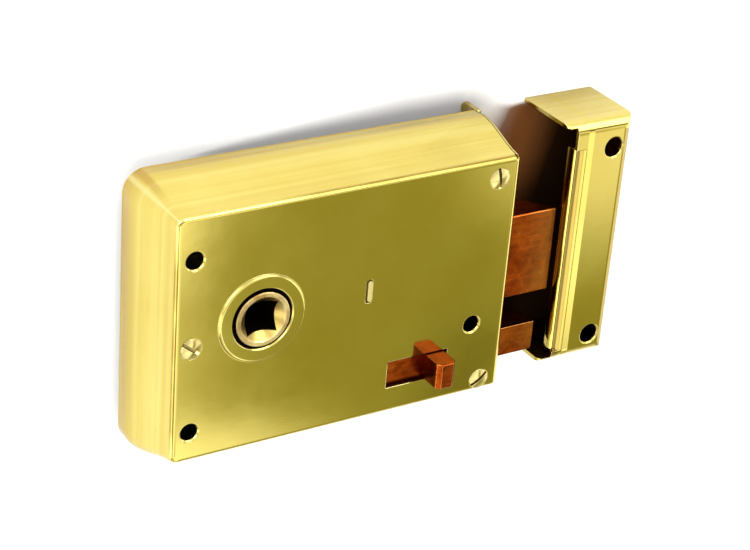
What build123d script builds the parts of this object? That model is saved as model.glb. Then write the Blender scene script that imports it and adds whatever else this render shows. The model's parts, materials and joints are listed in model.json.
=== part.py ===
from build123d import *
import math
import os

# Surface-mounted rim latch with a slide snib and a separate box keep.
# Units are millimetres.  The origin is on the spindle axis in the plane of the
# door face.  +X runs towards the keep, +Y runs into the door, +Z is up.

os.makedirs("parts", exist_ok=True)

# ---------------------------------------------------------------- dimensions
X0, X1 = -28.0, 73.6          # case: rear end, fore-end face
Z0, Z1 = -40.8, 35.4          # case: bottom, top
DEPTH = 21.2                  # door face to front plate
T = 1.2                       # brass sheet
FLANGE = 6.4                  # fore-end flange behind the door plane
PLATE_T = 1.5                 # steel back plate
# depth from the door, inset of the tapering walls
WALL = [(0.0, 0.0), (2.6, 0.0), (5.2, 0.08), (8.1, 0.70), (11.3, 1.70),
        (14.6, 2.90), (17.8, 3.80), (20.0, 4.28), (21.2, 4.60)]
EDGE_R = 1.25                 # rounding round the front plate
FOLD_R = 1.9                  # rounder fold from the front plate into the fore-end

BOSS_R, BOSS_H = 11.9, 0.6    # raised ring round the follower
FOLLOWER_HOLE_R = 8.2
SPINDLE_SQ = 8.1              # square spindle hole, for an 8 mm spindle

FIX_R = 2.3                   # fixing screw holes through the case
FIX = [(-18.7, 19.3), (-18.7, -28.1), (63.0, -15.7)]
CASE_SCREWS = [(-19.0, -4.4, 38.0), (67.1, 25.7, 82.0), (67.1, -33.1, -35.0)]
SCREW_HEAD_R, SCREW_R = 2.85, 1.25
PILLAR_R = 1.85

SLIT = (29.5, 31.3, -2.4, 4.3)        # spring stump tenon in the front plate
SLOT = (37.8, 56.0, -29.1, -21.3)     # snib slot in the front plate

LATCH_Z = (-13.4, 10.8)
LATCH_Y = (-16.0, -5.0)
LATCH_X = (56.0, 90.3)
LATCH_BEVEL = 8.4
LATCH_TRAVEL = 16.5
SNIB_Z = (-31.1, -22.7)
SNIB_Y = (-16.0, -7.3)
SNIB_X = (44.0, 87.7)
SNIB_TRAVEL = 11.5

TAIL_Y = (-5.0, -3.0)
ARM_IN, ARM_OUT = 10.0, 16.5          # tail arms, above and below the follower
WING_R, WING_W = 22.3, 2.5            # follower wings: reach, half thickness
WING_Y = (-13.0, -8.0)
HORN_X = (-6.95, -4.75)

SPRING_AXIS = (-10.5, 0.45)           # y, z of the latch spring
SPRING_R, WIRE_R, COILS = 3.4, 0.4, 8

KEEP_X = (88.0, 109.3)
KEEP_Z = (-34.2, 36.35)
KEEP_D = 20.6
KEEP_FRONT_X = 91.3                   # open edge of the keep's front plate
KEEP_CORNER = 3.3
KEEP_LIP = 4.1
KEEP_FOLD = 3.3                       # outside radius of the keep's folds
KEEP_HOLES = [(103.3, 28.1), (103.3, -27.8)]
KEEP_HOLE_R = 2.75

GAP = 0.02                            # between fixed parts that touch


# ------------------------------------------------------------------- helpers
def box(xa, xb, ya, yb, za, zb):
    return Pos((xa + xb) / 2, (ya + yb) / 2, (za + zb) / 2) * Box(xb - xa, yb - ya, zb - za)


def rod_y(x, z, r, ya, yb):
    """Round bar along Y."""
    return Pos(x, (ya + yb) / 2, z) * Rot(90, 0, 0) * Cylinder(r, yb - ya)


def rod_x(y, z, r, xa, xb):
    return Pos((xa + xb) / 2, y, z) * Rot(0, 90, 0) * Cylinder(r, xb - xa)


def cone_y(x, z, r_front, r_back, ya, yb):
    """Cone along Y, r_front at the lower y."""
    return Pos(x, (ya + yb) / 2, z) * Rot(-90, 0, 0) * Cone(r_front, r_back, yb - ya)


def rounded_slot(xa, xb, za, zb, ya, yb):
    """Upright slot with round ends, through y."""
    r = (xb - xa) / 2
    s = box(xa, xb, ya, yb, za + r, zb - r)
    return s + rod_y(xa + r, za + r, r, ya, yb) + rod_y(xa + r, zb - r, r, ya, yb)


def section(depth, inset, r, right, extra=0.0):
    """Outline of the case at one depth: rounded at the rear end, square at the fore-end."""
    xa, za, zb = X0 + inset, Z0 + inset, Z1 - inset
    y = -depth + extra
    k = r * (1 - math.sqrt(0.5))
    p = lambda x, z: (x, y, z)
    edges = [
        Line(p(right, za), p(xa + r, za)),
        ThreePointArc(p(xa + r, za), p(xa + k, za + k), p(xa, za + r)),
        Line(p(xa, za + r), p(xa, zb - r)),
        ThreePointArc(p(xa, zb - r), p(xa + k, zb - k), p(xa + r, zb)),
        Line(p(xa + r, zb), p(right, zb)),
        Line(p(right, zb), p(right, za)),
    ]
    return Face(Wire(edges))


def save(name, shape, colour=None):
    solids = shape.solids() if not isinstance(shape, list) else [q for h in shape for q in h.solids()]
    out = solids[0] if len(solids) == 1 else Compound(children=list(solids))
    out.label = name
    export_step(out, "parts/%s.step" % name)
    print("%-20s solids %d  volume %.1f" % (name, len(solids), sum(q.volume for q in solids)))


# ---------------------------------------------------------------- case cover
outer = Solid.make_loft([section(d, i, 6.0 - 0.9 * i, X1).outer_wire() for d, i in WALL])
inner_rows = [(-1.0, 0.0)] + [(d, i) for d, i in WALL if d < 20.1]
inner = Solid.make_loft([section(d, i + T, max(6.0 - 0.9 * i - T, 0.65), X1 - T).outer_wire()
                         for d, i in inner_rows])
outer = Part() + outer
front_edges = [e for e in outer.edges() if e.bounding_box().max.Y < -DEPTH + 0.01]
fold_edges = [e for e in front_edges if e.bounding_box().min.X > X1 - 0.1]
outer = fillet(fold_edges, FOLD_R)
front_edges = [e for e in outer.edges() if e.bounding_box().max.Y < -DEPTH + 0.01
               and e.center().X < X1 - FOLD_R - 0.5]
outer = fillet(front_edges, EDGE_R)
cover = outer - (Part() + inner)

flange = box(X1 - T, X1, -1.0, FLANGE, Z0, Z1)
flange = chamfer([e for e in flange.edges() if abs(e.center().Y - FLANGE) < 0.01
                  and abs(e.length - T) < 0.01], 1.0)
cover = cover + flange

# open seams where the top and bottom walls meet the folded fore-end
cover -= box(X1 - T - 0.3, X1 - T, -20.0, 0.5, 24.0, 37.0)
cover -= box(X1 - T - 0.3, X1 - T, -20.0, 0.5, -42.0, -29.5)
# relief notches at the ends of the front fold
for zc in (Z1 - 4.6, Z0 + 4.6):
    cover -= box(X1 - T - 0.55, X1 - T + 0.15, -21.5, -19.7, zc - 0.55, zc + 1.6) if zc > 0 \
        else box(X1 - T - 0.55, X1 - T + 0.15, -21.5, -19.7, zc - 1.6, zc + 0.55)

boss = rod_y(0, 0, BOSS_R, -DEPTH - BOSS_H, -DEPTH + 0.3)
boss = fillet([e for e in boss.edges() if abs(e.center().Y + DEPTH + BOSS_H) < 0.01], 0.55)
cover += boss
cover -= rod_y(0, 0, FOLLOWER_HOLE_R, -DEPTH - 2, -15)
cover -= cone_y(0, 0, FOLLOWER_HOLE_R + 0.35, FOLLOWER_HOLE_R - 0.01, -DEPTH - BOSS_H - 0.02, -DEPTH - BOSS_H + 0.34)

for x, z in FIX:
    cover -= rod_y(x, z, FIX_R, -DEPTH - 2, -15)
    cover -= cone_y(x, z, FIX_R + 0.4, FIX_R - 0.01, -DEPTH - 0.02, -DEPTH + 0.38)
for x, z, a in CASE_SCREWS:
    cover -= cone_y(x, z, SCREW_HEAD_R + 0.05, SCREW_R + 0.4, -DEPTH - 0.001, -DEPTH + T + 0.001)
    cover -= rod_y(x, z, SCREW_R + 0.38, -DEPTH - 1, -15)
cover -= rounded_slot(SLIT[0], SLIT[1], SLIT[2], SLIT[3], -DEPTH - 2, -15)
cover -= box(SLOT[0], SLOT[1], -DEPTH - 2, -15, SLOT[2], SLOT[3])
# bolt apertures in the fore-end
cover -= box(X1 - 3, X1 + 2, LATCH_Y[0] - 0.25, LATCH_Y[1] + 0.25, LATCH_Z[0] - 0.25, LATCH_Z[1] + 0.25)
cover -= box(X1 - 3, X1 + 2, SNIB_Y[0] - 0.2, SNIB_Y[1] + 0.2, SNIB_Z[0] - 0.12, SNIB_Z[1] + 0.2)
save("case_cover", cover)

# ------------------------------------------------- posts riveted to the plate
TAIL_POSTS = [(22.0, 18.7), (36.0, 18.7), (22.0, -18.7), (36.0, -18.7)]
SNIB_POSTS = [(48.0, -20.65), (48.0, -33.05)]
POST_R, SPIGOT_R = 1.8, 1.2
tail_post_r = 18.7 - ARM_OUT - 0.1


def post(x, z, r, y_front):
    """Post standing on the back plate with a riveted spigot through it."""
    s = rod_y(x, z, r, y_front, -PLATE_T - GAP)
    s = chamfer([e for e in s.edges() if abs(e.center().Y - y_front) < 0.01], 0.3)
    return s + rod_y(x, z, SPIGOT_R, -PLATE_T - GAP, -0.05)


tail_guides = [post(x, z, tail_post_r, -6.4) for x, z in TAIL_POSTS]
snib_guides = [post(x, z, POST_R, -17.2) for x, z in SNIB_POSTS]
save("tail_guides", tail_guides)
save("snib_guides", snib_guides)

pillars = []
for x, z, a in CASE_SCREWS:
    p = rod_y(x, z, PILLAR_R, -20.0 + GAP, -PLATE_T - GAP)
    p += rod_y(x, z, SPIGOT_R, -PLATE_T - GAP, -0.05)
    p -= rod_y(x, z, SCREW_R + GAP, -20.5, -8.0)
    pillars.append(p)
save("case_pillars", pillars)

# ---------------------------------------------------------------- back plate
c = T + 0.08
plate_face = section(0.0, c, 6.0 - c, X1 - T - 0.08)
plate = Part() + Solid.extrude(plate_face, Vector(0, -PLATE_T, 0))
plate -= rod_y(0, 0, 7.0, -3, 1)
for x, z in FIX:
    plate -= rod_y(x, z, FIX_R, -3, 1)
for x, z in [(q[0], q[1]) for q in CASE_SCREWS] + TAIL_POSTS + SNIB_POSTS:
    plate -= rod_y(x, z, SPIGOT_R + GAP, -3, 1)
plate -= rounded_slot(SLIT[0], SLIT[1], SLIT[2], SLIT[3], -3, 1)
save("back_plate", plate)

# --------------------------------------------------------------- case screws
screws = []
for x, z, a in CASE_SCREWS:
    dome_h, neck = 0.5, SCREW_R + 0.35
    rr = (SCREW_HEAD_R ** 2 + dome_h ** 2) / (2 * dome_h)
    yc = -DEPTH - dome_h + rr
    half = SCREW_HEAD_R / 2
    outline = Wire([
        ThreePointArc((0, -DEPTH - dome_h), (half, yc - math.sqrt(rr ** 2 - half ** 2)), (SCREW_HEAD_R, -DEPTH)),
        Line((SCREW_HEAD_R, -DEPTH), (neck, -DEPTH + T - 0.03)),
        Line((neck, -DEPTH + T - 0.03), (SCREW_R, -DEPTH + T - 0.03)),
        Line((SCREW_R, -DEPTH + T - 0.03), (SCREW_R, -9.0)),
        Line((SCREW_R, -9.0), (0, -9.0)),
        Line((0, -9.0), (0, -DEPTH - dome_h))])
    s = Pos(x, 0, z) * (Part() + revolve(Face(outline), Axis.Y))
    s -= Pos(x, -DEPTH - 0.1, z) * Rot(0, a, 0) * Box(8, 1.5, 0.9)
    screws.append(s)
save("case_screws", screws)

# ------------------------------------------------------------------ follower
hub = rod_y(0, 0, 9.2, -20.0 + 0.08, -PLATE_T - 0.08)
hub += rod_y(0, 0, FOLLOWER_HOLE_R - 0.06, -20.45, -19.0)
nozzle = rod_y(0, 0, 7.45, -22.15, -20.0)
nozzle = fillet([e for e in nozzle.edges() if abs(e.center().Y + 22.15) < 0.01], 0.35)
hub += nozzle
hub += rod_y(0, 0, 6.95, -2.0, -0.1)
for s in (1, -1):
    wing = box(-WING_W, WING_W, WING_Y[0], WING_Y[1], 0, WING_R) if s > 0 \
        else box(-WING_W, WING_W, WING_Y[0], WING_Y[1], -WING_R, 0)
    wing = fillet([e for e in wing.edges() if abs(abs(e.center().Z) - WING_R) < 0.01
                   and abs(e.length - (WING_Y[1] - WING_Y[0])) < 0.01], 1.2)
    hub += wing
hub -= box(-SPINDLE_SQ / 2, SPINDLE_SQ / 2, -30, 5, -SPINDLE_SQ / 2, SPINDLE_SQ / 2)
hub -= cone_y(0, 0, 6.25, 4.05, -22.16, -19.9)
hub -= cone_y(0, 0, 4.6, 5.75, -1.2, -0.05)
save("follower", hub)

# --------------------------------------------------------------- latch bolt
profile = [(LATCH_X[0], LATCH_Y[0]), (LATCH_X[1], LATCH_Y[0]), (LATCH_X[1], LATCH_Y[0] + 0.7),
           (LATCH_X[1] - LATCH_BEVEL, LATCH_Y[1]), (LATCH_X[0], LATCH_Y[1])]
# drawn in plan, extruded upwards
head = Pos(0, 0, LATCH_Z[0]) * extrude(Polygon(*profile, align=None), amount=LATCH_Z[1] - LATCH_Z[0])
head = Part() + head
edge_set = [e for e in head.edges() if e.center().X > LATCH_X[0] + 1 and
            (abs(e.center().Z - LATCH_Z[0]) < 0.01 or abs(e.center().Z - LATCH_Z[1]) < 0.01)]
head = chamfer(edge_set, 0.25)
LATCH_RIVETS = [(61.5, 6.6), (61.5, -9.2), (66.0, -1.3)]
for x, z in LATCH_RIVETS:
    head -= rod_y(x, z, 1.5 + GAP, -10.0, -4.0)
head -= rod_x(SPRING_AXIS[0], SPRING_AXIS[1], 1.6 + GAP, 50.0, 62.0)
save("latch_bolt", head)

rivets = []
for x, z in LATCH_RIVETS:
    r = rod_y(x, z, 1.5, -9.9, -2.95)
    r += cone_y(x, z, 2.4, 1.6, TAIL_Y[1] + GAP, TAIL_Y[1] + 0.7)
    rivets.append(r)
save("latch_rivets", rivets)

rod = rod_x(SPRING_AXIS[0], SPRING_AXIS[1], 1.6, 28.4, 61.9)
rod = chamfer([e for e in rod.edges() if abs(e.center().X - 28.4) < 0.01], 0.4)
save("latch_spring_rod", rod)

# forked tail: flat steel plate behind the bolt with two horns turned forward
tail = box(HORN_X[0], 57.0, TAIL_Y[0] + GAP, TAIL_Y[1], -ARM_OUT, ARM_OUT)
tail += box(50.0, 69.0, TAIL_Y[0] + GAP, TAIL_Y[1], -13.0, 10.4)
tail -= box(-20.0, 50.0, -8, 0, -ARM_IN, ARM_IN)
tail = fillet([e for e in tail.edges().filter_by(Axis.Y)
               if abs(e.center().X - 50.0) < 0.01 and abs(abs(e.center().Z) - ARM_IN) < 0.01], 3.0)
tail = fillet([e for e in tail.edges().filter_by(Axis.Y)
               if abs(e.center().X - 57.0) < 0.01 and abs(abs(e.center().Z) - ARM_OUT) < 0.01], 2.0)
for s in (1, -1):
    za, zb = (ARM_IN, ARM_OUT) if s > 0 else (-ARM_OUT, -ARM_IN)
    horn = box(HORN_X[0], HORN_X[1], WING_Y[0] - 0.5, TAIL_Y[1], za, zb)
    horn = fillet([e for e in horn.edges().filter_by(Axis.X) if e.center().Y < WING_Y[0]], 1.0)
    tail += horn
for x, z in LATCH_RIVETS:
    tail -= rod_y(x, z, 1.5 + GAP, -6, -2)
save("latch_tail", tail)

# -------------------------------------------------------------- spring stump
sx0, sx1 = 29.4, 31.4
stump = box(sx0, sx1, -20.0 + GAP, -PLATE_T - GAP, SLIT[2], SLIT[3])
tenon = rounded_slot(SLIT[0] + 0.55, SLIT[1] - 0.08, SLIT[2] + 0.45, SLIT[3] - 0.45, -DEPTH - 0.12, -19.0)
stump += tenon
stump += rounded_slot(SLIT[0] + 0.1, SLIT[1] - 0.1, SLIT[2] + 0.1, SLIT[3] - 0.1, -2.0, -0.05)
stump -= rod_x(SPRING_AXIS[0], SPRING_AXIS[1], 1.65, 25, 35)
save("spring_stump", stump)

# ------------------------------------------------------------- latch spring
xa, xb = sx1 + WIRE_R + 0.03, LATCH_X[0] - WIRE_R - 0.03
pitch = (xb - xa) / COILS
coil = Helix(pitch, xb - xa, SPRING_R, center=(0, 0, 0), direction=(0, 0, 1))
wire_profile = Plane(coil @ 0, z_dir=coil % 0) * Circle(WIRE_R)
spring = sweep(wire_profile, path=coil, is_frenet=True)
spring = Pos(xa, SPRING_AXIS[0], SPRING_AXIS[1]) * Rot(0, 90, 0) * spring
save("latch_spring", spring)

# --------------------------------------------------------------------- snib
PAD_X = (50.0, 65.0)
bolt = box(SNIB_X[0], SNIB_X[1], SNIB_Y[0], SNIB_Y[1], SNIB_Z[0], SNIB_Z[1])
bolt = chamfer([e for e in bolt.edges() if abs(e.center().X - SNIB_X[1]) < 0.01], 0.4)
bolt += box(PAD_X[0], PAD_X[1], -18.3 + GAP, SNIB_Y[0] + 0.5, -29.0, SNIB_Z[1])
KNOB = (49.3, 54.8, -28.7, -21.6)
KNOB_OUT = 6.9                                # how far the knob stands off the front plate
SNIB_RIVETS = [(58.6, -25.3), (62.4, -25.3)]
kx, kz = (KNOB[0] + KNOB[1]) / 2, (KNOB[2] + KNOB[3]) / 2
bolt -= rod_y(kx, kz, 1.6 + GAP, -19, -13.5)
for x, z in SNIB_RIVETS:
    bolt -= rod_y(x, z, 1.2 + GAP, -19, -13.5)
bolt -= rod_y(52.0, -26.9, 1.0 + GAP, -9.8, -6)
save("snib_bolt", bolt)

slide = box(36.4, 67.8, -19.8, -18.3, -29.6, -19.9)
slide -= rod_y(kx, kz, 1.6 + GAP, -21, -17)
for x, z in SNIB_RIVETS:
    slide -= rod_y(x, z, 1.2 + GAP, -21, -17)
save("snib_slide", slide)

knob = box(KNOB[0], KNOB[1], -DEPTH - KNOB_OUT, -19.8 - GAP, KNOB[2], KNOB[3])
knob = chamfer([e for e in knob.edges().filter_by(Axis.Z) if e.center().Y < -DEPTH], 1.1)
knob = fillet([e for e in knob.edges().filter_by(Axis.X) if e.center().Y < -DEPTH], 0.3)
knob += rod_y(kx, kz, 1.6, -20.5, -13.6)
save("snib_knob", knob)

srivets = [rod_y(x, z, 1.2, -19.75, -13.6) for x, z in SNIB_RIVETS]
save("snib_rivets", srivets)

# bow spring riding on the back of the snib bolt and rubbing on the back plate
by, ay = SNIB_Y[1] + GAP, -PLATE_T - 0.04     # foot face, apex
t = 0.5
xl, xr = 50.2, 72.0                           # ends of the strip
ma, mb = 54.0, 70.5                           # ends of the bow
mid = (ma + mb) / 2
o = [Line((xl, by, 0), (ma, by, 0)),
     ThreePointArc((ma, by, 0), (mid, ay - t, 0), (mb, by, 0)),
     Line((mb, by, 0), (xr, by, 0)),
     Line((xr, by, 0), (xr, by + t, 0)),
     Line((xr, by + t, 0), (mb, by + t, 0)),
     ThreePointArc((mb, by + t, 0), (mid, ay, 0), (ma, by + t, 0)),
     Line((ma, by + t, 0), (xl, by + t, 0)),
     Line((xl, by + t, 0), (xl, by, 0))]
bow = Pos(0, 0, -29.4) * (Part() + Solid.extrude(Face(Wire(o)), Vector(0, 0, 5.0)))
bow -= rod_y(52.0, -26.9, 1.0 + GAP, -9, -5)
save("snib_spring", bow)

srv = rod_y(52.0, -26.9, 1.0, -9.7, by + t + 0.02)
srv += rod_y(52.0, -26.9, 1.6, by + t + GAP, by + t + 0.5)
save("snib_spring_rivet", srv)

# --------------------------------------------------------------------- keep
kxa, kxb = KEEP_X
kza, kzb = KEEP_Z
k_out = box(kxa, kxb, -KEEP_D, 0, kza, kzb)
k_out = fillet([e for e in k_out.edges()
                if abs(e.center().Y + KEEP_D) < 0.01 and abs(e.center().X - kxa) > 0.01], KEEP_FOLD)
k_in = box(kxa - 2, kxb - T, -KEEP_D + T, 2, kza + T, kzb - T)
k_in = fillet([e for e in k_in.edges()
               if abs(e.center().Y + KEEP_D - T) < 0.01 and e.center().X > kxa], KEEP_FOLD - T)
keep = k_out - k_in
# cut the front back to its open edge, leaving a rounded corner on each end wall
cut = box(kxa - 1, KEEP_FRONT_X, -KEEP_D - 1, -KEEP_D + KEEP_CORNER, kza - 1, kzb + 1)
rnd = Pos(KEEP_FRONT_X, -KEEP_D + KEEP_CORNER, (kza + kzb) / 2) * Cylinder(KEEP_CORNER, kzb - kza + 2)
cut -= rnd
keep -= cut
front_cut = box(kxa - 1, KEEP_FRONT_X, -KEEP_D - 1, -KEEP_D + 3.0, kza + T + 0.01, kzb - T - 0.01)
keep -= front_cut
# the front plate folds back into a lip that the bolts catch behind
fx, fy = KEEP_FRONT_X + KEEP_FOLD, -KEEP_D + KEEP_FOLD
lz0, lz1 = kza + KEEP_FOLD, 28.9
keep -= box(KEEP_FRONT_X - 0.1, fx, -KEEP_D - 0.1, -KEEP_D + T + 0.1, lz0, lz1)
ring = Pos(fx, fy, (lz0 + lz1) / 2) * (Cylinder(KEEP_FOLD, lz1 - lz0) - Cylinder(KEEP_FOLD - T, lz1 - lz0))
ring = ring & box(KEEP_FRONT_X - 0.1, fx, -KEEP_D - 0.1, fy, lz0, lz1)
lip = box(KEEP_FRONT_X, KEEP_FRONT_X + T, fy, -KEEP_D + KEEP_LIP, lz0, lz1)
lip = fillet([e for e in lip.edges().filter_by(Axis.X)
              if abs(e.center().Y + KEEP_D - KEEP_LIP) < 0.01 and e.center().Z > 0], 0.6)
keep += ring + lip
for x, z in KEEP_HOLES:
    keep -= rod_y(x, z, KEEP_HOLE_R, -KEEP_D - 1, -15)
    keep -= cone_y(x, z, KEEP_HOLE_R + 0.35, KEEP_HOLE_R - 0.01, -KEEP_D - 0.01, -KEEP_D + 0.34)
save("keep_box", keep)
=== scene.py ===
import json
import math

import bmesh
import bpy
from mathutils import Matrix, Vector


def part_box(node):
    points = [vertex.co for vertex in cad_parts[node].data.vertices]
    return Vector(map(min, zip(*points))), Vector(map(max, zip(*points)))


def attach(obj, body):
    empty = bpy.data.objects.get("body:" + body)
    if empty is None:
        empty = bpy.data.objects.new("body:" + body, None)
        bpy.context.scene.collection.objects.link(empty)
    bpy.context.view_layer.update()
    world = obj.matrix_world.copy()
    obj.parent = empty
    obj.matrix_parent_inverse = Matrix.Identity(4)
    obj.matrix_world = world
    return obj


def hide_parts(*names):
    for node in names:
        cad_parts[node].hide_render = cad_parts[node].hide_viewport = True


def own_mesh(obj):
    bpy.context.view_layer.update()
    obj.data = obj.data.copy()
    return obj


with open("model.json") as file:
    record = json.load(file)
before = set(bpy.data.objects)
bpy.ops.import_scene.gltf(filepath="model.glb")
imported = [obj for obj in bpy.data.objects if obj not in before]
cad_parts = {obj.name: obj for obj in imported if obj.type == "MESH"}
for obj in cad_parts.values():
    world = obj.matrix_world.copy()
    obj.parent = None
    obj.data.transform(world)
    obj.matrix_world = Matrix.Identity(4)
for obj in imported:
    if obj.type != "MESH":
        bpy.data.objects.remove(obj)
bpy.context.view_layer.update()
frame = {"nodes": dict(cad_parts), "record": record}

scene = bpy.context.scene
nodes = frame["nodes"]
MM = 0.001

# ============================================================ material helpers


class Tree:
    """Small helper around a node tree, so that materials read as formulas."""

    def __init__(self, tree):
        self.t = tree
        self.n = tree.nodes
        self.n.clear()

    def node(self, kind, inputs=None, **props):
        k = self.n.new(kind)
        for a, b in props.items():
            setattr(k, a, b)
        for key, value in (inputs or {}).items():
            self.put(k.inputs[key], value)
        return k

    def put(self, socket, value):
        if isinstance(value, bpy.types.NodeSocket):
            self.t.links.new(value, socket)
        elif isinstance(value, bpy.types.Node):
            self.t.links.new(value.outputs[0], socket)
        else:
            if socket.type == "RGBA" and len(value) == 3:
                value = (*value, 1.0)
            socket.default_value = value

    def math(self, op, a, b=0.0, c=0.0, clamp=False):
        k = self.node("ShaderNodeMath", {0: a, 1: b, 2: c}, operation=op, use_clamp=clamp)
        return k.outputs[0]

    def vmath(self, op, a, b=None, out=0, scale=None):
        k = self.node("ShaderNodeVectorMath", operation=op)
        self.put(k.inputs[0], a)
        if b is not None:
            self.put(k.inputs[1], b)
        if scale is not None:
            self.put(k.inputs["Scale"], scale)
        return k.outputs[out]

    def dot(self, a, b):
        return self.vmath("DOT_PRODUCT", a, b, out="Value")

    def noise(self, vec, scale=1.0, detail=3.0, rough=0.55, lac=2.0, dist=0.0):
        k = self.node("ShaderNodeTexNoise", {"Vector": vec, "Scale": scale, "Detail": detail,
                                             "Roughness": rough, "Lacunarity": lac, "Distortion": dist})
        return k.outputs["Fac"]

    def stretch(self, vec, sx, sy, sz):
        k = self.node("ShaderNodeMapping", {"Vector": vec, "Scale": (sx, sy, sz)})
        return k.outputs[0]

    def remap(self, v, a, b, c=0.0, d=1.0, smooth=False):
        k = self.node("ShaderNodeMapRange", {"Value": v, "From Min": a, "From Max": b, "To Min": c, "To Max": d})
        k.clamp = True
        if smooth:
            k.interpolation_type = "SMOOTHSTEP"
        return k.outputs[0]

    def ramp(self, v, stops, mode="LINEAR"):
        k = self.node("ShaderNodeValToRGB", {0: v})
        cr = k.color_ramp
        cr.interpolation = mode
        while len(cr.elements) < len(stops):
            cr.elements.new(0.5)
        for e, (p, col) in zip(cr.elements, stops):
            e.position = p
            e.color = (*col, 1.0) if len(col) == 3 else col
        return k.outputs[0]

    def mix(self, f, a, b, blend="MIX"):
        k = self.n.new("ShaderNodeMix")
        k.data_type = "RGBA"
        k.blend_type = blend
        self.put(k.inputs[0], f)
        self.put(k.inputs[6], a)
        self.put(k.inputs[7], b)
        return k.outputs[2]

    def bump(self, height, distance, strength=1.0, normal=None):
        k = self.node("ShaderNodeBump", {"Height": height, "Distance": distance, "Strength": strength})
        if normal is not None:
            self.put(k.inputs["Normal"], normal)
        return k.outputs[0]


def new_material(name):
    m = bpy.data.materials.new(name)
    m.use_nodes = True
    t = Tree(m.node_tree)
    out = t.node("ShaderNodeOutputMaterial")
    bsdf = t.node("ShaderNodeBsdfPrincipled")
    t.t.links.new(bsdf.outputs[0], out.inputs[0])
    pos = t.node("ShaderNodeTexCoord").outputs["Object"]
    return m, t, bsdf, pos, out


def within(t, v, a, b):
    """1 where a < v < b."""
    return t.math("MULTIPLY", t.math("GREATER_THAN", v, a), t.math("LESS_THAN", v, b))


def edge_mask(t, radius, sharp=0.985):
    """1 on convex and concave edges, 0 on flats, from the rounded-corner normal."""
    soft = t.node("ShaderNodeBevel", {"Radius": radius}, samples=6).outputs[0]
    true = t.node("ShaderNodeNewGeometry").outputs["Normal"]
    return t.remap(t.dot(soft, true), sharp, 0.90, 0.0, 1.0), soft


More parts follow.
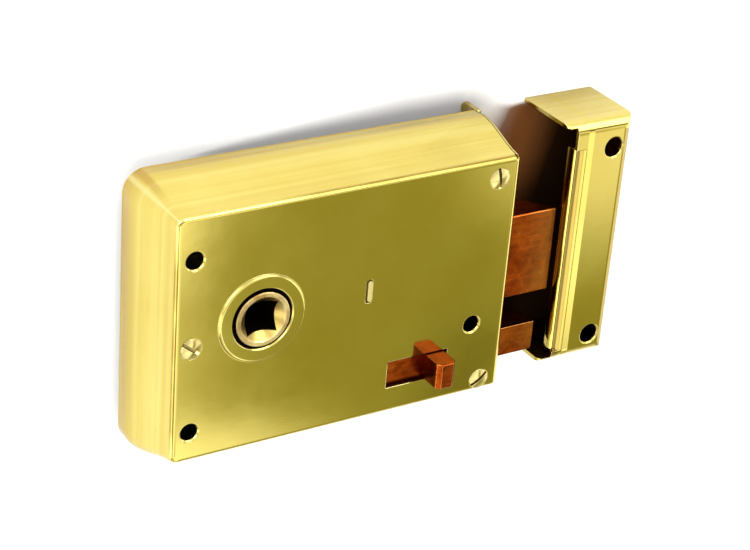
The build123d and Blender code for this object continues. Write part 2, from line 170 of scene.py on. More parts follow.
def brass_material(name, tint=(0.955, 0.80, 0.215), deep=(0.86, 0.665, 0.135), rough=0.055, streak=1.0,
                   edge=(1.0, 0.90, 0.42), round_r=0.35 * MM, coat=0.35, wave=1.0, rim=0.75, inside=None, fold_shade_mask=None, press=None):
    """Polished, lacquered sheet brass: drawn streaks round the walls, faint waviness, brighter worn edges."""
    m, t, b, pos, out = new_material(name)
    worn, soft = edge_mask(t, round_r)
    # streaks: quick across the depth of the wall, slow along it
    lines = t.noise(t.stretch(pos, 18, 1500, 18), 1.0, 5.0, 0.62)
    lines2 = t.noise(t.stretch(pos, 55, 4200, 55), 1.0, 3.0, 0.6)
    cloud = t.noise(pos, 55.0, 4.0, 0.6)
    speck = t.noise(pos, 2600.0, 2.0, 0.7)
    tone = t.math("ADD", t.math("MULTIPLY", lines, 0.55 * streak), t.math("MULTIPLY", cloud, 0.6))
    colour = t.mix(t.remap(tone, 0.35, 0.80), deep, tint)
    # painted shade: darker and browner in a band along the rim, standing in for the shaded surface the rim mirrors
    depth = t.node("ShaderNodeSeparateXYZ", {0: pos}).outputs[1]
    band = t.remap(t.math("ADD", depth, t.math("MULTIPLY", t.math("SUBTRACT", cloud, 0.5), 2.2 * MM)),
                   -8.5 * MM, -0.3 * MM, 0.0, 1.0, smooth=True)
    colour = t.mix(t.math("MULTIPLY", band, rim), colour, (0.71, 0.455, 0.085))
    # long pale and dark drawing bands along the walls
    bands = t.noise(t.stretch(pos, 7, 420, 7), 1.0, 2.0, 0.5)
    colour = t.mix(t.math("MULTIPLY", t.remap(bands, 0.50, 0.66), 0.5 * streak), colour, (0.99, 0.87, 0.29))
    colour = t.mix(t.math("MULTIPLY", t.remap(bands, 0.47, 0.33), 0.38 * streak), colour, (0.80, 0.585, 0.12))
    colour = t.mix(t.math("MULTIPLY", worn, 0.65), colour, edge)
    # small handling marks
    marks = t.remap(t.noise(pos, 420.0, 2.0, 0.5), 0.70, 0.78)
    colour = t.mix(t.math("MULTIPLY", marks, 0.12), colour, (0.55, 0.38, 0.06))
    if press is None and rim > 0.5:
        # the pressed corners of the case: a painted highlight along the corner ridge, and painted shade towards the
        # upper wall near the rim
        nrm = t.node("ShaderNodeSeparateXYZ", {0: t.node("ShaderNodeNewGeometry").outputs["Normal"]})
        nx, nz = t.math("ABSOLUTE", nrm.outputs[0]), t.math("ABSOLUTE", nrm.outputs[2])
        wall = t.math("LESS_THAN", t.math("ABSOLUTE", nrm.outputs[1]), 0.75)
        diff = t.math("SUBTRACT", nz, nx)
        painted_ridge_highlight = t.math("MULTIPLY", wall, t.remap(t.math("ABSOLUTE", diff), 0.26, 0.04, smooth=True))
        painted_shade_zone = t.math("MULTIPLY", t.math("MULTIPLY", wall, t.remap(diff, 0.20, 0.45, smooth=True)),
                        t.math("MULTIPLY", t.remap(diff, 0.88, 0.66, smooth=True), t.remap(nx, 0.05, 0.12)))
        painted_shade_zone = t.math("MULTIPLY", painted_shade_zone, t.remap(depth, -16.0 * MM, -6.0 * MM, smooth=True))
        colour = t.mix(t.math("MULTIPLY", painted_shade_zone, 0.55), colour, (0.58, 0.33, 0.06))
        colour = t.mix(t.math("MULTIPLY", painted_ridge_highlight, 0.65), colour, (1.0, 0.93, 0.40))
    if fold_shade_mask is not None:
        # painted shade: dark reflection lines along the folds, with the coat taken off there
        fold_shade_amount = fold_shade_mask(t, pos, cloud)
        colour = t.mix(fold_shade_amount, colour, (0.40, 0.27, 0.055))
        coat = t.math("MULTIPLY", t.math("SUBTRACT", 1.0, fold_shade_amount), coat)
    r = t.math("ADD", rough, t.math("MULTIPLY", t.remap(cloud, 0.35, 0.7), 0.035))
    r = t.math("ADD", r, t.math("MULTIPLY", t.remap(speck, 0.62, 0.8), 0.05))
    r = t.math("ADD", r, t.math("MULTIPLY", worn, 0.05))
    # bump: slow sheet waviness, drawn lines, polishing haze
    slow = t.noise(t.stretch(pos, 26, 26, 26), 1.0, 1.0, 0.4)
    n = t.bump(slow, 0.00045, 0.12 * wave, soft)
    if press is not None:
        n = t.bump(press(t, pos), 1.0, 1.0, n)
    n = t.bump(lines, 0.00006, 0.30 * streak, n)
    n = t.bump(lines2, 0.00002, 0.25 * streak, n)
    n = t.bump(speck, 0.000004, 0.35, n)
    if inside is not None:
        # unpolished inner surfaces: rough brass, painted dark with a mottled brown as the shade inside
        mask = inside(t, pos)
        inner_shade = t.mix(t.remap(t.noise(pos, 240.0, 5.0, 0.65, dist=0.5), 0.35, 0.7),
                      (0.030, 0.012, 0.005), (0.17, 0.065, 0.022))
        colour = t.mix(mask, colour, inner_shade)
        r = t.math("ADD", r, t.math("MULTIPLY", mask, 0.38))
        coat_w = t.math("MULTIPLY", t.math("SUBTRACT", 1.0, mask), coat)
    else:
        coat_w = coat
    t.put(b.inputs["Base Color"], colour)
    t.put(b.inputs["Metallic"], 1.0)
    t.put(b.inputs["Roughness"], r)
    t.put(b.inputs["Normal"], n)
    t.put(b.inputs["Coat Weight"], coat_w)
    t.put(b.inputs["Coat Roughness"], 0.035)
    t.put(b.inputs["Coat IOR"], 1.45)
    t.put(b.inputs["Coat Normal"], n)
    return m


def bolt_material(name, tint=(0.62, 0.118, 0.010), deep=(0.23, 0.024, 0.003), light=(0.95, 0.46, 0.10), rough=0.17,
                  along="x"):
    """Red-brown drawn bar: mottled heat colour, file lines along the bolt, bright worn arrises."""
    m, t, b, pos, out = new_material(name)
    worn, soft = edge_mask(t, 0.28 * MM)
    s = (60, 900, 900) if along == "x" else (900, 900, 60)
    lines = t.noise(t.stretch(pos, *s), 1.0, 4.0, 0.6)
    cloud = t.noise(pos, 210.0, 5.0, 0.62, dist=0.6)
    patch = t.noise(pos, 90.0, 3.0, 0.5)
    fine = t.noise(pos, 3200.0, 2.0, 0.6)
    mottle = t.math("ADD", t.math("MULTIPLY", cloud, 0.75), t.math("MULTIPLY", lines, 0.35))
    colour = t.mix(t.remap(mottle, 0.36, 0.70), deep, tint)
    colour = t.mix(t.math("MULTIPLY", t.remap(patch, 0.52, 0.68), 0.40), colour, (0.68, 0.20, 0.022))
    # the bolt is lighter towards its end
    tip = t.remap(t.node("ShaderNodeSeparateXYZ", {0: pos}).outputs[0], 80.0 * MM, 90.5 * MM)
    colour = t.mix(t.math("MULTIPLY", tip, 0.40), colour, (0.86, 0.38, 0.085))
    colour = t.mix(t.math("MULTIPLY", worn, 0.75), colour, light)
    r = t.math("ADD", rough, t.math("MULTIPLY", cloud, 0.16))
    n = t.bump(lines, 0.00005, 0.55, soft)
    n = t.bump(cloud, 0.00010, 0.30, n)
    n = t.bump(fine, 0.000008, 0.5, n)
    t.put(b.inputs["Base Color"], colour)
    t.put(b.inputs["Metallic"], 1.0)
    t.put(b.inputs["Roughness"], r)
    t.put(b.inputs["Normal"], n)
    return m


def bronze_material(name):
    """Follower: cast bronze, turned face with fine rings, dark in the square."""
    m, t, b, pos, out = new_material(name)
    worn, soft = edge_mask(t, 0.30 * MM)
    sep = t.node("ShaderNodeSeparateXYZ", {0: pos})
    rad = t.math("SQRT", t.math("ADD", t.math("MULTIPLY", sep.outputs[0], sep.outputs[0]),
                                t.math("MULTIPLY", sep.outputs[2], sep.outputs[2])))
    wobble = t.noise(pos, 300.0, 2.0, 0.5)
    rings = t.math("SINE", t.math("ADD", t.math("MULTIPLY", rad, 21000.0), t.math("MULTIPLY", wobble, 5.0)))
    cloud = t.noise(pos, 260.0, 5.0, 0.65, dist=0.4)
    grit = t.noise(pos, 1500.0, 3.0, 0.7)
    colour = t.mix(t.remap(cloud, 0.34, 0.68), (0.56, 0.34, 0.10), (0.96, 0.76, 0.36))
    colour = t.mix(t.math("MULTIPLY", t.remap(grit, 0.60, 0.75), 0.4), colour, (0.35, 0.17, 0.05))
    colour = t.mix(t.math("MULTIPLY", worn, 0.7), colour, (1.0, 0.86, 0.52))
    # painted shade on the left and painted light below
    colour = t.mix(t.math("MULTIPLY", t.remap(sep.outputs[0], -3.5 * MM, -7.0 * MM), 0.55), colour, (0.36, 0.25, 0.09))
    colour = t.mix(t.math("MULTIPLY", t.remap(sep.outputs[2], -4.5 * MM, -6.8 * MM), 0.5), colour, (1.0, 0.80, 0.36))
    colour = t.mix(t.math("MULTIPLY", t.math("LESS_THAN", rad, 5.95 * MM), 0.85), colour, (0.62, 0.455, 0.11))
    # painted shade down in the groove round the nose, and dark in the square
    ax = t.math("ABSOLUTE", sep.outputs[0])
    az = t.math("ABSOLUTE", sep.outputs[2])
    square = t.math("MULTIPLY", t.math("LESS_THAN", ax, 4.07 * MM), t.math("LESS_THAN", az, 4.07 * MM))
    groove = t.math("MULTIPLY", within(t, rad, 7.43 * MM, 8.3 * MM),
                    t.math("GREATER_THAN", sep.outputs[1], -21.75 * MM))
    dark = t.math("MAXIMUM", square, groove)
    colour = t.mix(dark, colour, (0.016, 0.010, 0.006))
    r = t.math("ADD", 0.20, t.math("MULTIPLY", cloud, 0.20))
    r = t.math("ADD", r, t.math("MULTIPLY", dark, 0.3))
    n = t.bump(rings, 0.00001, 0.35, soft)
    n = t.bump(cloud, 0.00012, 0.35, n)
    n = t.bump(grit, 0.00003, 0.45, n)
    t.put(b.inputs["Base Color"], colour)
    t.put(b.inputs["Metallic"], 1.0)
    t.put(b.inputs["Roughness"], r)
    t.put(b.inputs["Normal"], n)
    return m


def steel_material(name, light=(0.62, 0.61, 0.58), dark=(0.36, 0.35, 0.34), rough=0.28, grain=(40, 40, 2400),
                   tarnish=(0.42, 0.34, 0.22), amount=0.35):
    """Zinc-plated or bright steel with rolled grain, spangle and a little tarnish."""
    m, t, b, pos, out = new_material(name)
    worn, soft = edge_mask(t, 0.22 * MM)
    lines = t.noise(t.stretch(pos, *grain), 1.0, 4.0, 0.6)
    cloud = t.noise(pos, 90.0, 5.0, 0.6, dist=0.8)
    spangle = t.node("ShaderNodeTexVoronoi", {"Vector": pos, "Scale": 420.0}).outputs["Color"]
    sp = t.node("ShaderNodeSeparateColor", {0: spangle}).outputs[0]
    fine = t.noise(pos, 2500.0, 3.0, 0.65)
    colour = t.mix(t.remap(lines, 0.3, 0.7), dark, light)
    colour = t.mix(t.math("MULTIPLY", sp, 0.16), colour, (0.72, 0.72, 0.74))
    colour = t.mix(t.math("MULTIPLY", t.remap(cloud, 0.52, 0.72), amount), colour, tarnish)
    colour = t.mix(t.math("MULTIPLY", worn, 0.6), colour, (0.85, 0.84, 0.80))
    r = t.math("ADD", rough, t.math("MULTIPLY", cloud, 0.22))
    n = t.bump(lines, 0.00004, 0.35, soft)
    n = t.bump(fine, 0.00001, 0.5, n)
    t.put(b.inputs["Base Color"], colour)
    t.put(b.inputs["Metallic"], 1.0)
    t.put(b.inputs["Roughness"], r)
    t.put(b.inputs["Normal"], n)
    return m


def keep_inside(t, pos):
    """Inner faces of the keep, leaving out the outer side of its folded lip."""
    c = t.node("ShaderNodeSeparateXYZ", {0: pos})
    lo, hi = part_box("keep_box")
    x, y, z = c.outputs
    painted_shade_zone = t.math("MULTIPLY", within(t, x, lo.x - 0.001, hi.x - 1.1 * MM),
                    t.math("MULTIPLY", within(t, y, lo.y + 1.1 * MM, -0.0001),
                           within(t, z, lo.z + 1.1 * MM, hi.z - 1.1 * MM)))
    lip = t.math("MULTIPLY", within(t, x, lo.x + 3.2 * MM, lo.x + 4.0 * MM),
                 t.math("MULTIPLY", t.math("LESS_THAN", y, lo.y + 4.05 * MM), t.math("LESS_THAN", z, 0.0288)))
    return t.math("MULTIPLY", painted_shade_zone, t.math("SUBTRACT", 1.0, lip))


def radius_y(t, pos):
    c = t.node("ShaderNodeSeparateXYZ", {0: pos})
    x, y, z = c.outputs
    return t.math("SQRT", t.math("ADD", t.math("MULTIPLY", x, x), t.math("MULTIPLY", z, z))), x, y, z


def case_inside(t, pos):
    """Wall of the follower hole and the hidden inner side of the front plate."""
    rad, x, y, z = radius_y(t, pos)
    bore = t.math("MULTIPLY", t.math("LESS_THAN", rad, 8.24 * MM), t.math("GREATER_THAN", y, -21.45 * MM))
    lo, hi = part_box("case_cover")
    painted_shade_zone = t.math("MULTIPLY", within(t, y, -20.08 * MM, -0.4 * MM),
                    t.math("MULTIPLY", within(t, x, lo.x + 6.4 * MM, hi.x - 1.15 * MM),
                           within(t, z, lo.z + 6.4 * MM, hi.z - 6.4 * MM)))
    slot = t.math("MULTIPLY", t.math("GREATER_THAN", y, -21.0 * MM),
                  t.math("MULTIPLY", within(t, x, 37.75 * MM, 56.05 * MM), within(t, z, -29.15 * MM, -21.25 * MM)))
    return t.math("MAXIMUM", slot, t.math("MAXIMUM", bore, painted_shade_zone))


def screw_slot(t, pos):
    """Sides and floor of the screw slots."""
    y = t.node("ShaderNodeSeparateXYZ", {0: pos}).outputs[1]
    return t.math("MULTIPLY", t.math("GREATER_THAN", y, -21.12 * MM), 0.42)


def keep_fold_shade(t, pos, cloud):
    """Painted shade: dark reflection bands on the keep's right fold and on the outer half of its left fold."""
    c = t.node("ShaderNodeSeparateXYZ", {0: pos})
    lo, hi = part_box("keep_box")
    x, y, z = c.outputs
    right = t.math("MULTIPLY", t.remap(x, hi.x - 3.3 * MM, hi.x - 2.6 * MM), t.remap(x, hi.x - 0.9 * MM, hi.x - 1.6 * MM))
    left = t.math("MULTIPLY", t.remap(x, lo.x + 5.7 * MM, lo.x + 5.2 * MM), t.math("LESS_THAN", y, lo.y + 3.0 * MM))
    left = t.math("MULTIPLY", left, t.math("LESS_THAN", z, 28.9 * MM))
    both = t.math("MAXIMUM", t.math("MULTIPLY", right, 0.75), t.math("MULTIPLY", left, 0.70))
    return t.math("MULTIPLY", both, t.math("LESS_THAN", z, hi.z - 3.4 * MM))


def keep_press(t, pos):
    """The plate dips a little beside the left fold, so the light line there is wider than the fold."""
    lo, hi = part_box("keep_box")
    x = t.node("ShaderNodeSeparateXYZ", {0: pos}).outputs[0]
    return t.remap(x, lo.x + 6.6 * MM, lo.x + 8.5 * MM, 0.0, 0.30 * MM)


def case_fold_shade(t, pos, cloud):
    """Thin painted dark reflection line along the folds round the front plate, fading out at the upper left corner."""
    c = t.node("ShaderNodeSeparateXYZ", {0: pos})
    x, y, z = c.outputs
    line = t.math("MULTIPLY", t.remap(y, -21.12 * MM, -21.02 * MM), t.remap(y, -19.9 * MM, -20.4 * MM))
    side = t.math("MULTIPLY", t.remap(x, -22.0 * MM, -22.6 * MM), t.remap(z, 24.0 * MM, 17.0 * MM))
    side = t.math("MULTIPLY", side, t.remap(z, -34.0 * MM, -27.0 * MM))
    top = t.math("MULTIPLY", t.remap(z, 30.0 * MM, 30.6 * MM), t.remap(x, 2.0 * MM, 14.0 * MM))
    where = t.math("MAXIMUM", side, top)
    return t.math("MULTIPLY", t.math("MULTIPLY", line, where), t.remap(cloud, 0.30, 0.55, 0.55, 0.95))


MATS = {
    "polished_brass": brass_material("polished_brass", inside=case_inside, fold_shade_mask=case_fold_shade),
    "keep_brass": brass_material("keep_brass", rough=0.065, streak=0.8, inside=keep_inside,
                                  rim=0.35, fold_shade_mask=keep_fold_shade, press=keep_press),
    "screw_brass": brass_material("screw_brass", tint=(1.0, 0.90, 0.46), deep=(0.92, 0.74, 0.28), rough=0.13,
                                  round_r=0.18 * MM, streak=0.3, rim=0.0, inside=screw_slot),
    "cast_bronze": bronze_material("cast_bronze"),
    "bolt_brass": bolt_material("bolt_brass"),
    "plate_steel": steel_material("plate_steel"),
    "turned_steel": steel_material("turned_steel", rough=0.22, grain=(900, 60, 900)),
    "spring_steel": steel_material("spring_steel", light=(0.42, 0.41, 0.42), dark=(0.20, 0.20, 0.22),
                                   rough=0.25, grain=(1800, 1800, 1800), amount=0.2),
}
FILED = brass_material("filed_brass", tint=(1.0, 0.93, 0.52), deep=(0.96, 0.82, 0.36), rough=0.42, streak=0.2,
                       round_r=0.12 * MM, coat=0.0, rim=0.0)
for entry in frame["record"]["subparts"]:
    o = nodes[entry["node"]]
    mat = MATS[entry["material_slot"]]
    if entry["node"] == "spring_stump":
        mat = FILED
    if not o.material_slots:
        o.data.materials.append(mat)
    for slot in o.material_slots:
        slot.material = mat

# ============================================================== latch spring
# The CAD coil can't shorten; this coil stands for it, wound over the same length, ends ground flat.
slo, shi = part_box("latch_spring")
wire = 0.4 * MM
coil_r = (shi.y - slo.y) / 2 - wire
cy, cz = (slo.y + shi.y) / 2, (slo.z + shi.z) / 2
turns, per, ring_n = 8.0, 30, 10
x_a, x_b = slo.x + wire, shi.x - wire
steps = int(turns * per)
rows = []
for i in range(steps + 1):
    k = i / steps
    # closed end coils: the pitch starts and ends small
    e = k + 0.055 * math.sin(2 * math.pi * k)
    ang = 2 * math.pi * turns * k
    rad = Vector((0.0, math.cos(ang), math.sin(ang)))
    centre = Vector((x_a + (x_b - x_a) * e, cy, cz)) + rad * coil_r
    lead = (x_b - x_a) * (1 + 0.055 * 2 * math.pi * math.cos(2 * math.pi * k))
    tangent = Vector((lead, 0.0, 0.0)) + Vector((0.0, -math.sin(ang), math.cos(ang))) * (coil_r * 2 * math.pi * turns)
    tangent.normalize()
    side = tangent.cross(rad).normalized()
    rows.append([centre + (rad * math.cos(2 * math.pi * j / ring_n) + side * math.sin(2 * math.pi * j / ring_n)) * wire
                 for j in range(ring_n)])
sv = [tuple(p) for row in rows for p in row]
sf = [(i * ring_n + j, i * ring_n + (j + 1) % ring_n, (i + 1) * ring_n + (j + 1) % ring_n, (i + 1) * ring_n + j)
      for i in range(steps) for j in range(ring_n)]
sf += [tuple(range(ring_n - 1, -1, -1)), tuple(steps * ring_n + j for j in range(ring_n))]
sm = bpy.data.meshes.new("latch_spring_coil")
sm.from_pydata(sv, [], sf)
bm = bmesh.new()
bm.from_mesh(sm)
bmesh.ops.recalc_face_normals(bm, faces=bm.faces)
bm.to_mesh(sm)
bm.free()
for p in sm.polygons:
    p.use_smooth = len(p.vertices) == 4
coil = bpy.data.objects.new("latch_spring_coil", sm)
scene.collection.objects.link(coil)
coil.data.materials.append(MATS["spring_steel"])
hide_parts("latch_spring")
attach(coil, "case")
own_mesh(coil)

# ===================================================================== camera
# seen from the front left and above, slightly rolled
cam_data = bpy.data.cameras.new("view_camera")
cam_data.lens = 100.15
cam_data.sensor_width = 36.0
cam_data.sensor_fit = "HORIZONTAL"
cam_data.clip_start = 0.01
cam_data.clip_end = 20.0
cam = bpy.data.objects.new("view_camera", cam_data)
scene.collection.objects.link(cam)
right = Vector((0.8562, -0.5116, 0.0718)).normalized()
back = Vector((-0.4834, -0.7443, 0.4609)).normalized()
up = back.cross(right).normalized()
rot = Matrix((right, up, back)).transposed().to_4x4()
cam.matrix_world = Matrix.Translation(Vector((-0.2203, -0.4093, 0.2457))) @ rot
scene.camera = cam

# ====================================================================== world
world = bpy.data.worlds.new("studio")
scene.world = world
world.use_nodes = True
w = Tree(world.node_tree)
wout = w.node("ShaderNodeOutputWorld")
direction = w.node("ShaderNodeTexCoord").outputs["Generated"]
sep = w.node("ShaderNodeSeparateXYZ", {0: direction})
dx, dy, dz = sep.outputs[0], sep.outputs[1], sep.outputs[2]


def lobe(vec, inner, outer):
    """1 within the inner angle of a direction, 0 beyond the outer one (cosines)."""
    v = Vector(vec).normalized()
    return w.remap(w.dot(direction, tuple(v)), outer, inner, 0.0, 1.0, smooth=True)


# The room the front plates mirror, written over the plane of the plates: fx and fz are the point
# of that plane, in millimetres, where the view camera sees this direction mirrored.
quiet = lobe((0.47, -0.74, -0.48), 0.968, 0.80)
front = w.math("MAXIMUM", w.math("MULTIPLY", dy, -1.0), 0.05)
fx = w.math("SUBTRACT", w.math("MULTIPLY", w.math("DIVIDE", dx, front), 388.1), 220.3)
fz = w.math("ADD", w.math("MULTIPLY", w.math("DIVIDE", dz, front), 388.1), 245.7)


def grey(v):
    return (v,) * 3


def glow(v, a, b, strength):
    """0 at a, strength at b, smooth in between."""
    return w.math("MULTIPLY", w.remap(v, a, b, 0.0, 1.0, smooth=True), strength)


base = w.ramp(w.remap(fx, -30.0, 80.0), [(0.0, grey(0.40)), (0.16, grey(0.338)), (0.38, grey(0.320)),
                                         (0.60, grey(0.312)), (0.85, grey(0.295)), (1.0, grey(0.30))])
level = w.node("ShaderNodeRGBToBW", {0: base}).outputs[0]
# left edge: bright at the top, weaker in the middle
edge_l = glow(fx, -13.0, -25.0, 1.0)
level = w.math("ADD", level, w.math("MULTIPLY", edge_l, w.math("ADD", 0.18, glow(fz, 2.0, 30.0, 0.62))))
level = w.math("ADD", level, w.math("MULTIPLY", glow(fx, 4.0, -16.0, 0.12), w.remap(fz, 20.0, -6.0, smooth=True)))
level = w.math("ADD", level, w.math("MULTIPLY", glow(fx, 2.0, -16.0, 0.17), w.remap(fz, 16.0, 30.0, smooth=True)))
# low left corner: a wedge of the white surface
wedge = w.math("ADD", fz, w.math("MULTIPLY", fx, 0.17))
level = w.math("ADD", level, w.math("MULTIPLY", glow(wedge, -26.0, -36.5, 0.80), w.remap(fx, 38.0, -8.0, smooth=True)))
# upper right corner
level = w.math("ADD", level, w.math("MULTIPLY", glow(fx, 46.0, 74.0, 0.36), w.remap(fz, 10.0, 29.0, smooth=True)))
level = w.math("ADD", level, w.math("MULTIPLY", glow(fx, 60.0, 74.0, 0.07), w.remap(fz, -2.0, 12.0, smooth=True)))
# lower right: quieter, with a light line along the fold
level = w.math("SUBTRACT", level, w.math("MULTIPLY", glow(fx, 34.0, 62.0, 0.105), w.remap(fz, -10.0, -24.0, smooth=True)))
level = w.math("ADD", level, w.math("MULTIPLY", glow(fx, 66.0, 74.0, 0.14), w.remap(fz, -24.0, -34.0, smooth=True)))
# faint slanting edge of something dark far behind the lens
slant = w.math("SUBTRACT", fz, w.math("ADD", 8.5, w.math("MULTIPLY", w.math("SUBTRACT", fx, 32.5), 0.53)))
level = w.math("ADD", level, w.math("MULTIPLY", glow(slant, -1.0, 1.0, 0.014), w.remap(fx, 18.0, 32.0, smooth=True)))
# the keep's front plate: light above, olive below
keep_level = w.node("ShaderNodeRGBToBW", {0: w.ramp(
    w.remap(fz, -36.0, 36.0), [(0.0, grey(0.285)), (0.22, grey(0.305)), (0.36, grey(0.385)), (0.50, grey(0.56)),
                               (0.64, grey(0.82)), (0.78, grey(1.04)), (0.88, grey(0.98)), (1.0, grey(1.02))])}).outputs[0]
on_keep = w.remap(fx, 80.0, 88.0, smooth=True)
level = w.math("ADD", w.math("MULTIPLY", level, w.math("SUBTRACT", 1.0, on_keep)), w.math("MULTIPLY", keep_level, on_keep))
local = w.node("ShaderNodeCombineColor", {0: level, 1: level, 2: level})
warm = w.mix(w.remap(level, 0.30, 0.85), (1.0, 0.99, 0.30), (1.0, 1.0, 0.95))
local = w.mix(1.0, local.outputs[0], warm, "MULTIPLY")
# the rest of the room
room = w.ramp(w.remap(dz, -1.0, 1.0), [(0.0, (0.60, 0.59, 0.56)), (0.25, (0.62, 0.61, 0.58)),
                                       (0.48, (0.66, 0.65, 0.62)), (0.62, (0.95, 0.95, 0.94)),
                                       (1.0, (1.20, 1.20, 1.20))])
# dark flag across the front, just above the lens axis
flag = w.math("MULTIPLY", w.math("MULTIPLY", w.remap(dz, 0.06, 0.13, smooth=True), w.remap(dz, 0.34, 0.24, smooth=True)),
              w.remap(dy, -0.50, -0.70, smooth=True))
room = w.mix(w.math("MULTIPLY", flag, 0.93), room, (0.05, 0.045, 0.03))
boxes = [((0.45, -0.575, 0.67), 0.955, 0.90, 2.4),
         ((-0.90, -0.15, -0.40), 0.970, 0.90, 2.4),
         ((-0.28, -0.86, -0.43), 0.990, 0.965, 1.1),
         ((0.93, -0.35, -0.20), 0.950, 0.86, 0.9),
         ((-0.75, -0.35, 0.56), 0.930, 0.82, 1.5),
         ((0.10, 0.85, 0.50), 0.920, 0.70, 0.9),
         ((0.50, -0.865, 0.03), 0.995, 0.97, 0.55)]
for vec, inner, outer, strength in boxes:
    room = w.mix(1.0, room, w.math("MULTIPLY", lobe(vec, inner, outer), strength), "ADD")
mirrored = w.mix(quiet, room, local)

path = w.node("ShaderNodeLightPath")
# what one polished part shows of another is much dimmer than the room itself
again = w.math("GREATER_THAN", path.outputs["Glossy Depth"], 1.5)
mirrored = w.mix(w.math("MULTIPLY", again, 0.76), mirrored, (0.0, 0.0, 0.0))
seen = w.node("ShaderNodeBackground", {"Color": (1.0, 1.0, 1.0), "Strength": 1.0})
gloss = w.node("ShaderNodeBackground", {"Color": mirrored, "Strength": 1.0})
diff = w.node("ShaderNodeBackground", {"Color": (1.0, 1.0, 1.0), "Strength": 0.80})
m1 = w.node("ShaderNodeMixShader", {0: path.outputs["Is Diffuse Ray"], 1: gloss.outputs[0], 2: diff.outputs[0]})
m2 = w.node("ShaderNodeMixShader", {0: path.outputs["Is Camera Ray"], 1: m1.outputs[0], 2: seen.outputs[0]})
w.t.links.new(m2.outputs[0], wout.inputs[0])

# ====================================================================== stage
# The lock lies on its back, as when laid on a table: the pale surface is behind it.
TABLE_Y = 6.55 * MM
mesh = bpy.data.meshes.new("table")
size = 2.5
# under the keep the surface steps up to the keep's open back, so that both pieces lie on it
xs = [-size, 0.0745] + [0.0745 + 0.0105 * i / 14 for i in range(1, 15)] + [size]


def table_y(x):
    k = min(1.0, max(0.0, (x - 0.0745) / 0.0105))
    k = k * k * (3 - 2 * k)
    return TABLE_Y + (0.12 * MM - TABLE_Y) * k


verts, faces = [], []
for x in xs:
    verts += [(x, table_y(x), -size), (x, table_y(x), size)]
for i in range(len(xs) - 1):
    faces.append((2 * i, 2 * i + 2, 2 * i + 3, 2 * i + 1))
mesh.from_pydata(verts, [], faces)
for p in mesh.polygons:
    p.use_smooth = True
table = bpy.data.objects.new("table", mesh)
scene.collection.objects.link(table)
tm = bpy.data.materials.new("table_paper")
tm.use_nodes = True
t = Tree(tm.node_tree)
tout = t.node("ShaderNodeOutputMaterial")
tpos = t.node("ShaderNodeTexCoord").outputs["Object"]
grain = t.noise(tpos, 900.0, 4.0, 0.6)
paper = t.mix(t.remap(grain, 0.3, 0.7), (0.93, 0.925, 0.92), (0.97, 0.97, 0.965))
pd = t.node("ShaderNodeBsdfDiffuse", {"Color": paper, "Roughness": 0.9,
                                      "Normal": t.bump(grain, 0.0001, 0.2)})
# exposed like product photographs: the surface burns out to white for the camera only
lens = t.node("ShaderNodeLightPath").outputs["Is Camera Ray"]
keep_pos = t.node("ShaderNodeTexCoord")
keep_pos.object = nodes["keep_box"]
kp = t.node("ShaderNodeSeparateXYZ", {0: keep_pos.outputs["Object"]})
klo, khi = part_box("keep_box")
# left border leans: it starts under the keep's top left corner and runs down to the case
lean = t.math("ADD", kp.outputs[0], t.math("MULTIPLY", t.math("SUBTRACT", khi.z, kp.outputs[2]), 0.30))
shade = t.math("MULTIPLY", t.remap(lean, klo.x - 9.0 * MM, klo.x + 1.0 * MM, 0.0, 1.0, smooth=True),
               t.remap(kp.outputs[0], khi.x + 1.5 * MM, khi.x - 0.8 * MM, 0.0, 1.0, smooth=True))
shade = t.math("MULTIPLY", shade, t.remap(kp.outputs[2], khi.z - 0.2 * MM, khi.z - 3.0 * MM, 0.0, 1.0, smooth=True))
shade = t.math("MULTIPLY", shade, t.remap(kp.outputs[2], klo.z + 0.2 * MM, klo.z + 1.2 * MM, 0.0, 1.0, smooth=True))
# contact shade along the upper edge of the case
case_lo, case_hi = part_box("case_cover")
tp = t.node("ShaderNodeSeparateXYZ", {0: tpos})
tall = t.remap(tp.outputs[0], -6.0 * MM, 55.0 * MM, 0.7 * MM, 4.9 * MM)
rise = t.remap(t.math("DIVIDE", t.math("SUBTRACT", tp.outputs[2], 32.2 * MM), tall), 1.95, 0.25, 0.0, 1.0, smooth=True)
along = t.math("MULTIPLY", t.remap(tp.outputs[0], -14.0 * MM, 2.0 * MM, 0.0, 1.0, smooth=True),
               t.remap(tp.outputs[0], case_hi.x + 10.0 * MM, case_hi.x - 3.0 * MM, 0.0, 1.0, smooth=True))
contact = t.math("MULTIPLY", t.math("MULTIPLY", rise, along),
                 t.math("GREATER_THAN", tp.outputs[2], case_hi.z - 8.0 * MM))
paper = t.mix(t.math("MULTIPLY", contact, 0.62), paper, (0.30, 0.285, 0.29))
dusk = t.mix(t.remap(lean, klo.x + 5.5 * MM, klo.x + 16.0 * MM), (0.185, 0.068, 0.020), (0.021, 0.0085, 0.0025))
paper = t.mix(t.remap(shade, 0.0, 0.62), paper, dusk)
t.put(pd.inputs["Color"], t.mix(lens, t.mix(1.0, paper, (0.86, 0.86, 0.86), "MULTIPLY"), paper))
lift_k = t.math("MULTIPLY", t.math("SUBTRACT", 1.0, shade), t.math("SUBTRACT", 1.0, t.math("MULTIPLY", contact, 0.8)))
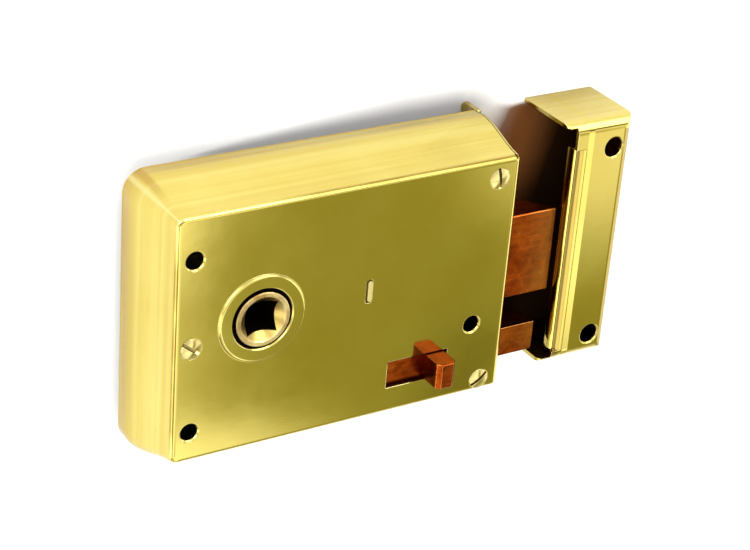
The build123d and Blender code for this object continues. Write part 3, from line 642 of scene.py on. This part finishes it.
lift = t.node("ShaderNodeEmission", {"Color": (1.0, 1.0, 1.0),
                                     "Strength": t.math("MULTIPLY", t.math("MULTIPLY", lens, 0.12), lift_k)})
lit = t.node("ShaderNodeAddShader", {0: pd.outputs[0], 1: lift.outputs[0]})
clear = t.node("ShaderNodeBsdfTransparent", {"Color": (1, 1, 1)})
# The surface is only there when the camera is in front of it, so that the back can be looked at.
p_cam = t.node("ShaderNodeVectorTransform", {0: (0.0, TABLE_Y, 0.0)}, vector_type="POINT",
               convert_from="WORLD", convert_to="CAMERA").outputs[0]
n_cam = t.node("ShaderNodeVectorTransform", {0: (0.0, 1.0, 0.0)}, vector_type="VECTOR",
               convert_from="WORLD", convert_to="CAMERA").outputs[0]
behind = t.math("LESS_THAN", t.dot(p_cam, n_cam), 0.0)
tmix = t.node("ShaderNodeMixShader", {0: behind, 1: lit.outputs[0], 2: clear.outputs[0]})
t.t.links.new(tmix.outputs[0], tout.inputs[0])
table.data.materials.append(tm)


# ===================================================================== lights
def area(name, loc, target, size_x, size_y, power, colour=(1, 1, 1)):
    d = bpy.data.lights.new(name, "AREA")
    d.shape = "RECTANGLE"
    d.size, d.size_y = size_x, size_y
    d.energy = power
    d.color = colour
    o = bpy.data.objects.new(name, d)
    scene.collection.objects.link(o)
    v = Vector(target) - Vector(loc)
    o.rotation_euler = v.to_track_quat("-Z", "Y").to_euler()
    o.location = loc
    return o


key = area("key_softbox", (-0.35, -0.75, -0.10), (0.03, 0.0, 0.0), 0.55, 0.55, 3.6, (1.0, 0.985, 0.96))
key.visible_glossy = False
fill = area("top_softbox", (0.10, -0.55, 0.70), (0.03, 0.0, 0.0), 0.6, 0.4, 1.6, (1.0, 1.0, 1.0))
fill.visible_glossy = False
rear = area("rear_softbox", (-0.35, 0.85, 0.45), (0.03, 0.0, 0.0), 0.6, 0.6, 9.0, (1.0, 1.0, 1.0))

scene.view_settings.view_transform = "Standard"
scene.view_settings.look = "None"
scene.view_settings.exposure = 0.0
scene.view_settings.gamma = 1.0
